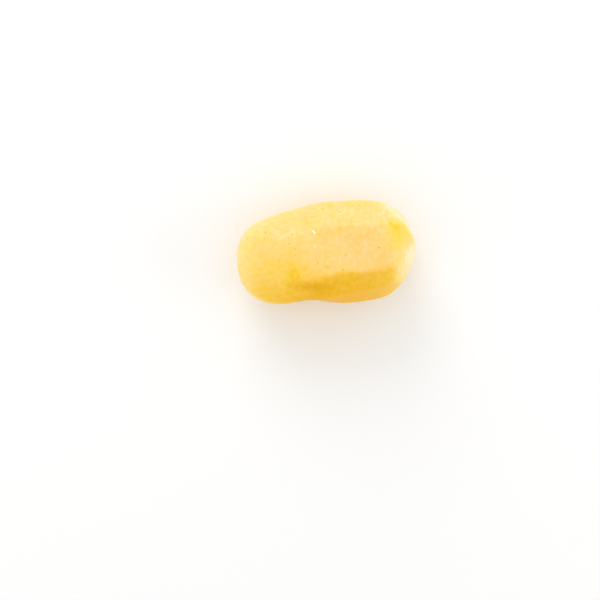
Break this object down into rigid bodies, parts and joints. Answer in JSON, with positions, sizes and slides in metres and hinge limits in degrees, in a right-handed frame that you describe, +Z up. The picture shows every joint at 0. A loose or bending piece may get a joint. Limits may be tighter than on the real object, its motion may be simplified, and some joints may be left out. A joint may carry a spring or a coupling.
{
  "type": "peeled potato",
  "caption": "Large raw potato, knife-peeled in long flat strokes, lying on its flattened underside.",
  "frame": {"origin": "on the surface that it rests on, under the middle of the potato's box", "axes": "+X along the long axis towards the blunter end, +Y across, +Z up"},
  "size_m": [0.11, 0.0642, 0.0552],
  "materials": {
    "potato_flesh": "raw yellow potato flesh, moist satin, faintly translucent, paler where the peel was cut deep"
  },
  "bodies": {
    "root": {"peeled_potato": "potato_flesh"}
  },
  "joints": []
}
